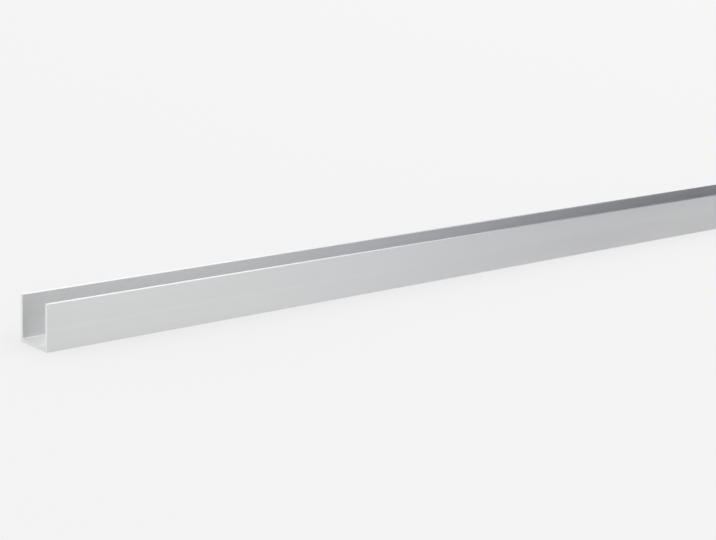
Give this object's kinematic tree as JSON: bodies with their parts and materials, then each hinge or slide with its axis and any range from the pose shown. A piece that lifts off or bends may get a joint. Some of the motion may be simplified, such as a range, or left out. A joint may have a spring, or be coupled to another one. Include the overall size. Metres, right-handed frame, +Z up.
{
  "type": "aluminium u-channel profile",
  "caption": "Straight length of aluminium U-channel: two equal flanges on a flat web, thin even walls, groove open upwards, both ends sawn square.",
  "frame": {"origin": "middle of the web's underside, halfway along the channel", "axes": "+X along the channel, +Y across it from one flange to the other, +Z up out of the open side of the groove"},
  "size_m": [1, 0.02, 0.02],
  "materials": {
    "satin_aluminium": "satin extruded surface with fine lengthwise die lines and sawn, deburred ends"
  },
  "bodies": {
    "root": {"u_channel": "satin_aluminium"}
  },
  "joints": []
}
